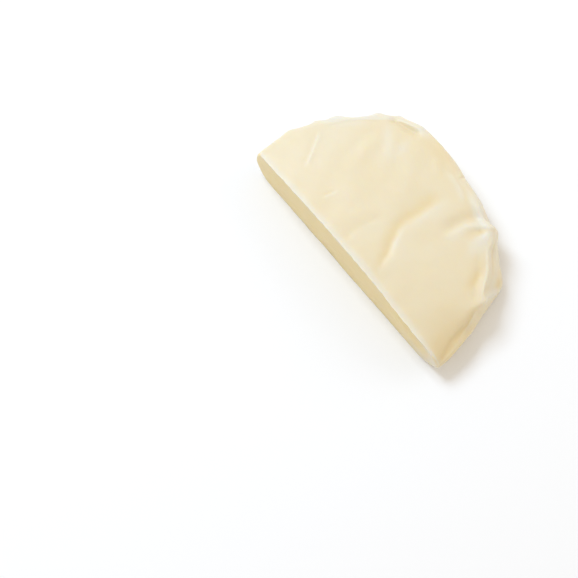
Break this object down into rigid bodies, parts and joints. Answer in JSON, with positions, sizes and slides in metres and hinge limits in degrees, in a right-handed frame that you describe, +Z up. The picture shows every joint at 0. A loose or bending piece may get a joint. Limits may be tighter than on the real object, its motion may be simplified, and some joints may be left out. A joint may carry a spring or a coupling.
{
  "type": "half wheel of cheese",
  "caption": "Half of a small flat cheese wheel with a pale, thin, wrinkled skin, rounded rim and straight cut face, lying on its flat underside.",
  "frame": {"origin": "middle of the object's box, on the table under the half wheel", "axes": "+X along the straight cut, -Y out of the cut face, +Z up"},
  "size_m": [0.2022, 0.111, 0.0383],
  "materials": {
    "cheese": "satin"
  },
  "bodies": {
    "root": {"half_wheel": "cheese"}
  },
  "joints": []
}
